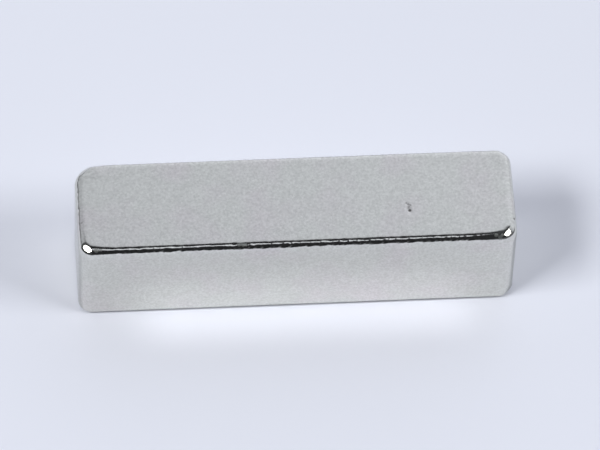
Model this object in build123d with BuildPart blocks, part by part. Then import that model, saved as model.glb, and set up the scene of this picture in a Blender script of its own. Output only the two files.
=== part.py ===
"""Nickel-plated bar magnet: one sintered block of square section, lying on a long side.

The origin is at the middle of the underside, +X runs along the bar, -Y is its front
and +Z is up. Sizes are in millimetres.
"""

import os

from build123d import *

# Driving dimensions of the block
bar_length = 40.0
bar_width = 10.0
bar_height = 10.0

# Radii of the four upright edges, which the press die rounds and the tumbling barrel wears unevenly
front_left_radius = 1.3
front_right_radius = 1.4
back_right_radius = 1.45
back_left_radius = 2.1

# Radii of the rims round the top and the underside, ground flat and then tumbled
top_rim_radius = 0.75
bottom_rim_radius = 0.6

half_length = bar_length / 2
half_width = bar_width / 2

with BuildPart() as bar_magnet:
    # The pressed outline, anticlockwise from the front left corner
    with BuildSketch(Plane.XY):
        with BuildLine():
            FilletPolyline(
                (-half_length, -half_width),
                (half_length, -half_width),
                (half_length, half_width),
                (-half_length, half_width),
                radius=[front_left_radius, front_right_radius, back_right_radius, back_left_radius],
                close=True,
            )
        make_face()
    extrude(amount=bar_height)

    # The rims run unbroken round the corners, so each corner ends in a small ball
    fillet(bar_magnet.faces().sort_by(Axis.Z)[-1].edges(), radius=top_rim_radius)
    fillet(bar_magnet.faces().sort_by(Axis.Z)[0].edges(), radius=bottom_rim_radius)

bar_magnet.part.label = "bar_magnet"

os.makedirs("parts", exist_ok=True)
export_step(bar_magnet.part, "parts/bar_magnet.step")

print("bar_magnet volume in cubic millimetres:", round(bar_magnet.part.volume, 1))
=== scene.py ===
import math

import bmesh
import bpy
import numpy as np
from mathutils import Matrix, Vector


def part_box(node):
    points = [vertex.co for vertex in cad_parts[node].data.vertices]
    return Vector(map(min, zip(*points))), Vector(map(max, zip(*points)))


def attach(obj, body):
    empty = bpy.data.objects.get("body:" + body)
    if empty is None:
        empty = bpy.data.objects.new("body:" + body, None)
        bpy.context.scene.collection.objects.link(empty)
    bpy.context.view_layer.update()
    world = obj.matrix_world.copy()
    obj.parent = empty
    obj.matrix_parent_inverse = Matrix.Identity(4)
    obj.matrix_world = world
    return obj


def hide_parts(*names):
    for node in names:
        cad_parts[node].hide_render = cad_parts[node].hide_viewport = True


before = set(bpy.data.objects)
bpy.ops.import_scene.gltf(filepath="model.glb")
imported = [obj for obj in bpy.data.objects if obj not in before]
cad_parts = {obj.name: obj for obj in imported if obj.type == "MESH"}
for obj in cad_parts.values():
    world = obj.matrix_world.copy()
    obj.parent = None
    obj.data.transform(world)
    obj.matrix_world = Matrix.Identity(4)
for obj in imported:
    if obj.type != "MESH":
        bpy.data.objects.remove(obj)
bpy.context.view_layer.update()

mm = 0.001  # the scene is in metres, and the values below are in millimetres


# Small helpers


def linear(hexColour):
    # an sRGB hex colour as linear red, green, blue and full alpha
    parts = [int(hexColour[i:i + 2], 16) / 255 for i in (1, 3, 5)]
    return [p / 12.92 if p <= 0.04045 else ((p + 0.055) / 1.055) ** 2.4 for p in parts] + [1.0]


def direction(azimuth, elevation):
    # unit vector; azimuth 0 is the bar's front, -Y, and 90 its right end, +X
    a, e = math.radians(azimuth), math.radians(elevation)
    return Vector((math.sin(a) * math.cos(e), -math.cos(a) * math.cos(e), math.sin(e)))


def addNode(tree, kind, settings=None, values=None, links=None):
    # one node with its settings, its socket values and its incoming links
    node = tree.nodes.new(kind)
    for name, value in (settings or {}).items():
        setattr(node, name, value)
    for socket, value in (values or {}).items():
        node.inputs[socket].default_value = value
    for socket, source in (links or {}).items():
        tree.links.new(source, node.inputs[socket])
    return node


# The bar: a pressed, sintered and tumbled block under nickel plate

bar = {
    "name": "nickelPlatedBar",
    "cornerRadii": (1.3, 1.4, 1.45, 2.1),  # upright edges: front left, front right, back right, back left
    "topRim": (0.73, 0.81),      # how far the rounding reaches in over the face and down the side
    "bottomRim": (0.60, 0.60),
    "rimEasing": 0.45,           # 0 is a plain quarter circle, 1 starts and ends with no curvature
    "cornerWear": (0.58, 0.65, 0.10, 0.20),    # how much larger the top rim gets at each corner
    "cornerWearLength": 1.7,     # how far along the rim that reaches
    "longSteps": 400,            # grid lines along a long side, a short side and a corner
    "shortSteps": 60,
    "cornerSteps": 40,
    "rimSteps": (12, 22),        # rows in the bottom and the top rim
    "sideSteps": 12,
    "faceSteps": (8, 22),        # rows in the underside and in the top face
    # unevenness of the tumbled rims: its length along and across a rim, and its depth
    "ripples": ((0.09, 0.08, 0.0066), (0.30, 0.30, 0.0030), (1.5, 1.5, 0.0040)),
    "rippleFade": 5,             # how fast the ripples die out where the rims grow at the corners
    "flatSoftness": 0.008,       # how softly a worn flat's edge runs out
    "flatBulgeLimit": 1.5,       # square millimetres beside a flat's middle past which it bulges no further
    "mergeDistance": 0.0005,     # points closer than this become one
    "seed": 7,
}

# Worn flats on the corners: the way each faces (azimuth, elevation), its depth and its bulge per square
# millimetre. The first two, at the front of the top, are the ones that flash white.
cornerFlats = [
    (-44.6, 55.6, 0.044, 0.09),
    (53.2, 55.6, 0.046, 0.12),
    (3.1, 51.5, 0.038, 0.0),
    (136, 40, 0.050, 0.06),
    (-140, 44, 0.085, 0.03),
    (-173, 42, 0.080, 0.0),
    (-45, -48, 0.020, 0.10),
    (50, -22, 0.115, 0.12),
    (133, -46, 0.040, 0.10),
    (-131, -52, 0.040, 0.10),
]

# Small dents: centre x, y and z, radius and depth
dents = [
    (-5.00, -4.80, 9.90, 0.30, 0.010),
    (-3.75, -4.84, 9.88, 0.20, 0.008),
    (6.9, -4.86, 9.84, 0.25, 0.006),
    (13.1, -4.84, 9.86, 0.30, 0.006),
    (-12.4, -4.85, 9.85, 0.28, 0.006),
    (10.29, -1.58, 10.0, 0.17, 0.060),
    (10.06, -0.80, 10.0, 0.13, 0.012),
    (10.25, -0.95, 10.0, 0.14, 0.016),
    (10.30, -1.18, 10.0, 0.15, 0.016),
    (-19.62, -1.55, 9.97, 0.16, 0.015),
]


def outline(length, width, radii, spec):
    # The plan outline as one closed path, anticlockwise from the front left corner: each corner is an arc of
    # its own radius, point = centre + radius * (cos t, sin t), and straight runs join the arcs. It gives the
    # points, their outward normals and, for each, the nearest point of the ridge line that closes the faces.
    signs = ((-1, -1), (1, -1), (1, 1), (-1, 1))
    starts = (math.pi, -math.pi / 2, 0.0, math.pi / 2)
    ridge = (length - width) / 2
    arcs = []
    for (sx, sy), start, r in zip(signs, starts, radii):
        t = start + np.linspace(0, math.pi / 2, spec["cornerSteps"] + 1)
        centre = np.array([sx * (length / 2 - r), sy * (width / 2 - r)])
        normals = np.stack([np.cos(t), np.sin(t)], 1)
        arcs.append((centre + r * normals, normals, np.full(len(t), sx * ridge)))
    runs = []
    for i, steps in enumerate((spec["longSteps"], spec["shortSteps"]) * 2):
        share = np.linspace(0, 1, steps + 1)[1:-1, None]
        (a, n, ra), (b, _, rb) = arcs[i], arcs[(i + 1) % 4]
        points = a[-1] + share * (b[0] - a[-1])
        onRidge = ra[-1] + share[:, 0] * (rb[0] - ra[-1])
        runs += [arcs[i], (points, np.repeat(n[-1:], len(points), 0), onRidge)]
    return [np.concatenate(column) for column in zip(*runs)]


def rimCurve(easing, steps):
    # A quarter turn from a flat face into the face beside it. The tangent turns by
    # angle(l) = 90 degrees * (l - easing * sin(2 pi l) / (2 pi)) over the curve's length l from 0 to 1, so the
    # curvature rises and falls smoothly, and summing the tangent gives the curve, scaled to 1 by 1.
    fine = 40  # parts summed for each step kept
    l = np.linspace(0, 1, fine * steps + 1)
    angle = math.pi / 2 * (l - easing * np.sin(2 * math.pi * l) / (2 * math.pi))
    middle = (angle[1:] + angle[:-1]) / 2
    across = np.concatenate([[0], np.cumsum(np.cos(middle))])
    down = np.concatenate([[0], np.cumsum(np.sin(middle))])
    kept = slice(None, None, fine)
    return 1 - across[kept] / across[-1], down[kept] / down[-1], angle[kept]


def smoothNoise(random, rows, columns, along, across):
    # Random values on a grid whose rows close on themselves, blurred by Gaussians of the given widths in
    # samples, exp(-(offset / width) ^ 2 / 2), along the rows and across them, with a spread of 1.
    offset = np.minimum(np.arange(columns), columns - np.arange(columns))
    kernel = np.exp(-0.5 * (offset / along) ** 2)
    values = np.real(np.fft.ifft(np.fft.fft(random.normal(size=(rows, columns))) * np.fft.fft(kernel)))
    apart = np.subtract.outer(np.arange(rows), np.arange(rows))
    values = np.exp(-0.5 * (apart / across) ** 2) @ values
    return values / values.std()


def barSurface():
    # The surface is a profile carried round the outline. At a row with inset s and height z the point is
    # outline - s * normal, at height z; the rows of the two flat faces slide on to the ridge line. It gives
    # the grid of points and how burnished each row is.
    low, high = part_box("bar_magnet")
    length, width, height = (high - low) / mm
    points, normals, ridge = outline(length, width, bar["cornerRadii"], bar)

    # the rims grow at the corners by wear * exp(-(way along the outline from the corner / wear length) ^ 2)
    step = np.linalg.norm(points - np.roll(points, 1, 0), axis=1)
    way, turn = np.cumsum(step), np.arctan2(normals[:, 1], normals[:, 0])
    growth = np.zeros(len(points))
    for quarter, wear in zip((-0.75, -0.25, 0.25, 0.75), bar["cornerWear"]):
        away = np.abs(way - way[np.abs(turn - quarter * math.pi).argmin()])
        away = np.minimum(away, way[-1] - away)
        growth += wear * np.exp(-(away / bar["cornerWearLength"]) ** 2)

    lowAcross, lowDown, lowAngle = rimCurve(bar["rimEasing"], bar["rimSteps"][0])
    topAcross, topDown, topAngle = rimCurve(bar["rimEasing"], bar["rimSteps"][1])
    lowReach = np.outer(bar["bottomRim"], np.ones(len(points)))
    topReach = np.outer(bar["topRim"], 1 + growth)
    share = np.linspace(0, 1, bar["sideSteps"] + 1)[1:-1, None]
    sides = (1 - share) * lowReach[1] + share * (height - topReach[1])
    rowInset = np.concatenate([np.outer(lowAcross, lowReach[0]), 0 * sides,
                               np.outer(topAcross, topReach[0])[::-1]])
    rowHeight = np.concatenate([np.outer(lowDown, lowReach[1]), sides,
                                height - np.outer(topDown, topReach[1])[::-1]])
    rowTilt = np.concatenate([lowAngle - math.pi / 2, 0 * share[:, 0], math.pi / 2 - topAngle[::-1]])

    body = np.empty(rowInset.shape + (3,))
    body[..., :2] = points - rowInset[..., None] * normals
    body[..., 2] = rowHeight
    out = np.empty_like(body)
    out[..., :2] = np.cos(rowTilt)[:, None, None] * normals
    out[..., 2] = np.sin(rowTilt)[:, None]

    ridgeLine = np.stack([ridge, np.zeros_like(ridge)], 1)
    faces = []
    for edge, z, steps in ((body[0], 0, bar["faceSteps"][0]), (body[-1], height, bar["faceSteps"][1])):
        share = (np.arange(1, steps + 1) / steps)[:, None, None]
        face = np.full((steps, len(points), 3), float(z))
        face[..., :2] = edge[:, :2] + share * (ridgeLine - edge[:, :2])
        faces.append(face)
    surface = np.concatenate([faces[0][::-1], body, faces[1]])
    up = np.array([0.0, 0.0, 1.0])
    outward = np.concatenate([np.broadcast_to(-up, faces[0].shape), out, np.broadcast_to(up, faces[1].shape)])

    # Tumbled rims are slightly uneven and more polished than the faces, and the corners are worn smooth:
    # moved in by depth * (1 + noise) * |sin(2 tilt)| * exp(-fade * growth)
    random = np.random.default_rng(bar["seed"])
    burnish = np.concatenate([np.zeros(len(faces[0])), np.abs(np.sin(2 * rowTilt)), np.zeros(len(faces[1]))])
    pitch = way[-1] / len(points)  # the grid's spacing along the outline, and then across a rim
    rowPitch = math.pi / 2 * bar["topRim"][0] / bar["rimSteps"][1]
    for along, across, deep in bar["ripples"]:
        wave = 1 + smoothNoise(random, *surface.shape[:2], along / pitch, across / rowPitch)
        surface -= outward * (deep * wave * burnish[:, None] * np.exp(-bar["rippleFade"] * growth))[..., None]

    # a dent is depth * exp(-(distance / radius) ^ 2) deep
    for x, y, z, radius, deep in dents:
        away = np.linalg.norm(surface - np.array([x, y, z]), axis=-1)
        surface -= outward * (deep * np.exp(-(away / radius) ** 2))[..., None]

    # each worn corner is pressed back with a soft edge onto a nearly flat patch,
    # facing . point = limit - bulge * sideways ^ 2
    softness = bar["flatSoftness"]
    for azimuth, elevation, deep, bulge in cornerFlats:
        facing, sideways = np.array(direction(azimuth, elevation)), np.array(direction(azimuth + 90, 0))
        beyond = surface @ facing
        tip = surface.reshape(-1, 3)[beyond.argmax()]
        bulging = bulge * np.minimum(((surface - tip) @ sideways) ** 2, bar["flatBulgeLimit"])
        beyond += deep - beyond.max() + bulging
        surface -= facing * (softness * np.logaddexp(0, beyond / softness))[..., None]
    return surface, burnish


def makeBar():
    # The grid of points as quads, each row closed on itself, with the two ridge lines merged.
    surface, burnish = barSurface()
    rows, columns = surface.shape[:2]
    index = np.arange(rows * columns).reshape(rows, columns)
    right = np.roll(index, -1, 1)
    quads = np.stack([index[:-1], right[:-1], right[1:], index[1:]], -1).reshape(-1, 4)
    mesh = bpy.data.meshes.new(bar["name"])
    mesh.from_pydata((surface.reshape(-1, 3) * mm).tolist(), [], quads.tolist())
    polish = mesh.attributes.new("burnish", "FLOAT", "POINT")
    polish.data.foreach_set("value", np.repeat(burnish, columns).astype(np.float32))
    work = bmesh.new()
    work.from_mesh(mesh)
    bmesh.ops.remove_doubles(work, verts=work.verts, dist=bar["mergeDistance"] * mm)
    bmesh.ops.recalc_face_normals(work, faces=work.faces)
    work.to_mesh(mesh)
    work.free()
    mesh.shade_smooth()
    piece = bpy.data.objects.new(bar["name"], mesh)
    bpy.context.scene.collection.objects.link(piece)
    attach(piece, "root")
    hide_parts("bar_magnet")
    return piece


# The plating

plate = {
    "colour": "#D8D8D1",
    "stainColour": "#DAD2D2",
    "grimeColour": "#3A3634",
    "scuffColour": "#969A97",
    "faceRoughness": (0.13, 0.19),
    "rimRoughness": 0.07,
    "scuffRoughness": 0.40,
    "edgeTint": 0.85,              # share of a plain metal's extra shine at a glancing angle that is left
    # size and detail of each noise; the block's own grain is finer, and is drawn this coarse so that it shows
    "grain": (0.22, 3.0),
    "mottle": (0.9, 4.0),
    "stain": (5.0, 2.0),
    "grainDepth": 0.0005,
    "shadeRange": (0.25, 0.75),    # part of the grain and of the mottle that the shades below spread over
    "grainShade": (0.86, 1.14),
    "mottleShade": (0.975, 1.025),
    "hazeRange": (0.3, 0.7),       # part of the mottle that the faces' roughness spreads over
    "stainRange": (0.45, 0.7),     # part of the stain noise over which a stain comes in
    "stainStrength": 0.55,         # and its full strength
    "spotCore": 0.3,               # share of a mark's or a scuff's radius at full strength
}

# Grime and stains: centre x, y and z, radius and strength
marks = [
    (10.31, -1.58, 10.0, 0.22, 0.90),
    (10.06, -0.76, 10.0, 0.14, 0.45),
    (10.22, -0.92, 10.0, 0.16, 0.50),
    (10.42, -1.00, 10.0, 0.14, 0.40),
    (10.25, -1.17, 10.0, 0.19, 0.50),
    (-19.62, -1.55, 10.0, 0.18, 0.35),
    (-18.90, 3.42, 10.0, 0.28, 0.10),
    (-18.62, 3.38, 10.0, 0.24, 0.14),
    (-18.38, 3.30, 10.0, 0.26, 0.12),
    (-18.08, 3.20, 10.0, 0.24, 0.12),
    (-17.76, 3.30, 10.0, 0.30, 0.12),
    (-18.30, 3.68, 10.0, 0.26, 0.09),
    (-17.95, 3.82, 10.0, 0.26, 0.09),
    (-18.84, 2.80, 10.0, 0.30, 0.08),
    (17.50, 3.74, 10.0, 0.24, 0.10),
    (18.62, 3.42, 10.0, 0.20, 0.12),
    (18.84, 3.28, 10.0, 0.20, 0.14),
    (19.08, 3.10, 10.0, 0.20, 0.12),
    (19.80, -2.80, 9.78, 0.17, 0.85),
    (-4.66, -4.60, 9.95, 0.14, 0.60),
]

# Matt scuffs, in the same way
scuffs = [
    (-5.42, -4.61, 9.95, 0.28, 0.9),
    (-5.08, -4.61, 9.95, 0.30, 0.9),
    (-4.78, -4.61, 9.95, 0.24, 0.9),
    (-18.38, -4.60, 9.92, 0.38, 0.8),
    (-18.00, -4.60, 9.94, 0.22, 0.6),
    (17.97, -4.61, 9.91, 0.30, 0.9),
    (18.34, -4.77, 9.76, 0.34, 0.9),
    (18.55, -4.62, 9.89, 0.24, 0.8),
]


def nickelPlate():
    # Bright electroplated nickel over a tumbled sintered block: a warm grey mirror, a little hazed, that
    # follows the fine grain of the block under it. The rims are burnished by the tumbling.
    material = bpy.data.materials.new("electroplatedNickel")
    material.use_nodes = True
    tree = material.node_tree
    shader = tree.nodes["Principled BSDF"]
    shader.inputs["Metallic"].default_value = 1.0
    shader.inputs["Specular Tint"].default_value = (plate["edgeTint"],) * 3 + (1,)
    place = addNode(tree, "ShaderNodeTexCoord")
    scaled = addNode(tree, "ShaderNodeMapping", values={"Scale": (1 / mm, 1 / mm, 1 / mm)},
                     links={"Vector": place.outputs["Object"]}).outputs["Vector"]
    burnish = addNode(tree, "ShaderNodeAttribute", {"attribute_name": "burnish"}).outputs["Fac"]

    def noise(size, detail):
        return addNode(tree, "ShaderNodeTexNoise", values={"Scale": 1 / size, "Detail": detail},
                       links={"Vector": scaled}).outputs["Fac"]

    def ramp(value, low, high, start, end, kind="LINEAR"):
        return addNode(tree, "ShaderNodeMapRange", {"interpolation_type": kind},
                       {"From Min": low, "From Max": high, "To Min": start, "To Max": end},
                       {"Value": value}).outputs["Result"]

    def blend(factor, first, second):
        node = addNode(tree, "ShaderNodeMix", {"data_type": "RGBA"}, {"B": linear(second)},
                       {"Factor": factor})
        if isinstance(first, str):
            node.inputs["A"].default_value = linear(first)
        else:
            tree.links.new(first, node.inputs["A"])
        return node.outputs["Result"]

    def spot(x, y, z, radius, strength):
        away = addNode(tree, "ShaderNodeVectorMath", {"operation": "DISTANCE"}, {1: (x, y, z)}, {0: scaled})
        return ramp(away.outputs["Value"], plate["spotCore"] * radius, radius, strength, 0.0, "SMOOTHSTEP")

    grain, mottle, stain = noise(*plate["grain"]), noise(*plate["mottle"]), noise(*plate["stain"])
    stained = ramp(stain, *plate["stainRange"], 0.0, plate["stainStrength"])
    colour = blend(stained, plate["colour"], plate["stainColour"])
    worn = [spot(*scuff) for scuff in scuffs]
    for factor in worn:
        colour = blend(factor, colour, plate["scuffColour"])
    for mark in marks:
        colour = blend(spot(*mark), colour, plate["grimeColour"])
    shade = addNode(tree, "ShaderNodeMath", {"operation": "MULTIPLY"},
                    links={0: ramp(grain, *plate["shadeRange"], *plate["grainShade"]),
                           1: ramp(mottle, *plate["shadeRange"], *plate["mottleShade"])})
    shaded = addNode(tree, "ShaderNodeVectorMath", {"operation": "SCALE"},
                     links={0: colour, "Scale": shade.outputs["Value"]})
    tree.links.new(shaded.outputs["Vector"], shader.inputs["Base Color"])
    hazed = ramp(mottle, *plate["hazeRange"], *plate["faceRoughness"])
    rough = addNode(tree, "ShaderNodeMix", values={"B": plate["rimRoughness"]},
                    links={"Factor": burnish, "A": hazed})
    for factor in worn:
        rough = addNode(tree, "ShaderNodeMix", values={"B": plate["scuffRoughness"]},
                        links={"Factor": factor, "A": rough.outputs["Result"]})
    tree.links.new(rough.outputs["Result"], shader.inputs["Roughness"])
    bump = addNode(tree, "ShaderNodeBump", values={"Distance": plate["grainDepth"] * mm},
                   links={"Height": grain})
    tree.links.new(bump.outputs["Normal"], shader.inputs["Normal"])
    return material


# Floor, light and camera

studio = {
    "floorColour": "#E0E3ED",
    "floorRoughness": 0.9,
    "floorSpecular": 0.1,
    "floorSize": 6.0,        # metres
    # Brightness of the surroundings from left to right, each a list of angles in degrees from straight up
    # towards the front with the brightness there
    "sweeps": {
        "farLeft": [(-92, 0.62), (-88, 0.26), (-72, 0.26), (-60, 0.42), (-52, 0.60), (-38, 0.52), (-28, 0.10),
                    (60, 0.08), (88, 0.08), (92, 0.75)],
        "left": [(-92, 0.50), (-91, 0.10), (-84, 0.10), (-76, 0.50), (-60, 0.60), (-45, 0.66), (-34, 0.64),
                 (-28, 0.10), (60, 0.08), (88, 0.08), (92, 0.75)],
        "middle": [(-90, 0.96), (-60, 0.84), (-45, 0.78), (-33, 0.74), (-25, 0.70), (-20, 0.10), (-16, 0.02),
                   (-8, 0.02), (2, 0.04), (8, 1.08), (16, 1.08), (23, 0.06), (34, 0.025), (78, 0.025),
                   (88, 0.16), (92, 0.75)],
        "right": [(-90, 0.92), (-60, 0.82), (-45, 0.76), (-33, 0.72), (-26, 0.50), (-20, 0.05), (60, 0.022),
                  (85, 0.16), (92, 0.75)],
        "farRight": [(-90, 0.66), (-20, 0.70), (-6, 0.50), (6, 0.14), (74, 0.14), (88, 0.45), (92, 0.75)],
        "rightEnd": [(-90, 0.30), (-60, 0.06), (88, 0.06), (92, 0.75)],
    },
    # where the sideways part of a direction passes from one sweep to the next
    "joins": [(-0.78, -0.62), (-0.30, -0.20), (0.09, 0.13), (0.61, 0.75), (0.93, 0.97)],
    # all of it brightens to the right: between these sideways parts, from the third value to the fourth
    "slope": (-0.02, 0.13, 0.85, 1.13),
    "airTint": (0.96, 1.0, 1.11),          # cool daylight
    # soft lamps: azimuth, elevation, distance, width and height in metres, power in watts
    "lamps": {
        "leftLamp": (-68.3, 48.5, 1.0, 0.42, 0.28, 6.45),
        "rightLamp": (73.2, 42.9, 1.0, 0.40, 0.26, 3.95),
    },
    # a small soft lamp over the floor in front, for the light that the bright front face throws down there:
    # its place, its length and depth in millimetres, its spread in degrees and its power in watts
    "frontGlow": ((1.0, -6.0, 11.0), (30.0, 1.6), 40, 0.00009),
}


def softLamp(name, place, wide, tall, power):
    # a rectangular lamp, pointing straight down until it is turned; place and size are in metres
    light = bpy.data.lights.new(name, "AREA")
    light.shape = "RECTANGLE"
    light.size, light.size_y, light.energy = wide, tall, power
    lamp = bpy.data.objects.new(name, light)
    lamp.location = place
    bpy.context.scene.collection.objects.link(lamp)
    return lamp


def makeStudio():
    # plain pale floor
    half = studio["floorSize"] / 2
    mesh = bpy.data.meshes.new("floor")
    corners = [(-half, -half, 0), (half, -half, 0), (half, half, 0), (-half, half, 0)]
    mesh.from_pydata(corners, [], [(0, 1, 2, 3)])
    floor = bpy.data.objects.new("floor", mesh)
    bpy.context.scene.collection.objects.link(floor)
    paper = bpy.data.materials.new("paleFloor")
    paper.use_nodes = True
    sockets = paper.node_tree.nodes["Principled BSDF"].inputs
    sockets["Base Color"].default_value = linear(studio["floorColour"])
    sockets["Roughness"].default_value = studio["floorRoughness"]
    sockets["Specular IOR Level"].default_value = studio["floorSpecular"]
    mesh.materials.append(paper)

    for name, (azimuth, elevation, distance, wide, tall, power) in studio["lamps"].items():
        lamp = softLamp(name, direction(azimuth, elevation) * distance, wide, tall, power)
        lamp.rotation_euler = lamp.location.to_track_quat("Z", "Y").to_euler()

    place, (wide, tall), spread, power = studio["frontGlow"]
    lamp = softLamp("frontGlow", Vector(place) * mm, wide * mm, tall * mm, power)
    lamp.data.spread = math.radians(spread)
    lamp.visible_camera = False
    lamp.visible_glossy = False  # it lights the floor alone, and doesn't show in the plating

    # the world: a sweep of light and dark from behind the bar, over it and down to the camera's side
    world = bpy.data.worlds.new("studio")
    bpy.context.scene.world = world
    world.use_nodes = True
    tree = world.node_tree
    place = addNode(tree, "ShaderNodeTexCoord")
    axes = addNode(tree, "ShaderNodeSeparateXYZ", links={"Vector": place.outputs["Generated"]})
    front = addNode(tree, "ShaderNodeMath", {"operation": "MULTIPLY"}, {1: -1.0}, {0: axes.outputs["Y"]})
    turn = addNode(tree, "ShaderNodeMath", {"operation": "ARCTAN2"},
                   links={0: front.outputs["Value"], 1: axes.outputs["Z"]})
    share = addNode(tree, "ShaderNodeMapRange", values={"From Min": -math.pi, "From Max": math.pi},
                    links={"Value": turn.outputs["Value"]})

    def pick(value, low, high, start=0.0, end=1.0):
        return addNode(tree, "ShaderNodeMapRange", None,
                       {"From Min": low, "From Max": high, "To Min": start, "To Max": end},
                       {"Value": value}).outputs["Result"]

    def blend(factor, first, second):
        return addNode(tree, "ShaderNodeMix", {"data_type": "RGBA"},
                       links={"Factor": factor, "A": first, "B": second}).outputs["Result"]

    sweeps = []
    for name, sweep in studio["sweeps"].items():
        node = addNode(tree, "ShaderNodeValToRGB", {"label": name}, links={"Fac": share.outputs["Result"]})
        stops = node.color_ramp.elements
        for stop in stops:  # straight down, at both ends of the ramp
            stop.color = (sweep[-1][1],) * 3 + (1,)
        for angle, grey in sweep:
            stops.new(0.5 + angle / 360).color = (grey, grey, grey, 1)
        sweeps.append(node.outputs["Color"])
    sideways, glow = axes.outputs["X"], sweeps[0]
    for join, sweep in zip(studio["joins"], sweeps[1:]):
        glow = blend(pick(sideways, *join), glow, sweep)
    sloped = addNode(tree, "ShaderNodeVectorMath", {"operation": "SCALE"},
                     links={0: glow, "Scale": pick(sideways, *studio["slope"])})
    tinted = addNode(tree, "ShaderNodeVectorMath", {"operation": "MULTIPLY"}, {1: studio["airTint"]},
                     {0: sloped.outputs["Vector"]})
    tree.links.new(tinted.outputs["Vector"], tree.nodes["Background"].inputs["Color"])


camera = {
    "azimuth": -5.95,
    "elevation": 56.12,
    "roll": 2.75,
    "distance": 610.7,       # millimetres from the middle of the bar
    "lens": 399.7,           # millimetres
    "aim": (0.534, 0.534),   # what the picture's middle shows, right of and above the middle of the bar
    "clip": (0.01, 100),     # metres
}


def makeCamera():
    # the camera stands in the given direction from the bar's middle, rolled, and looks at the aim point
    low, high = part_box("bar_magnet")
    middle = (low + high) / 2
    back = direction(camera["azimuth"], camera["elevation"])
    level = Vector((0, 0, 1)).cross(back).normalized()
    above = back.cross(level)
    roll = math.radians(camera["roll"])
    right = level * math.cos(roll) + above * math.sin(roll)
    up = above * math.cos(roll) - level * math.sin(roll)
    eye = middle + back * camera["distance"] * mm
    target = middle + (right * camera["aim"][0] + up * camera["aim"][1]) * mm
    toEye = (eye - target).normalized()
    right = up.cross(toEye).normalized()
    up = toEye.cross(right)
    lens = bpy.data.cameras.new("camera")
    lens.lens = camera["lens"]
    lens.clip_start, lens.clip_end = camera["clip"]
    holder = bpy.data.objects.new("camera", lens)
    holder.matrix_world = Matrix.Translation(eye) @ Matrix((right, up, toEye)).transposed().to_4x4()
    bpy.context.scene.collection.objects.link(holder)
    bpy.context.scene.camera = holder


makeCamera()
print("camera placed")
magnet = makeBar()
magnet.data.materials.append(nickelPlate())
print("bar made:", len(magnet.data.polygons), "faces")
makeStudio()
print("floor and lights made")

bpy.context.scene.view_settings.view_transform = "Standard"
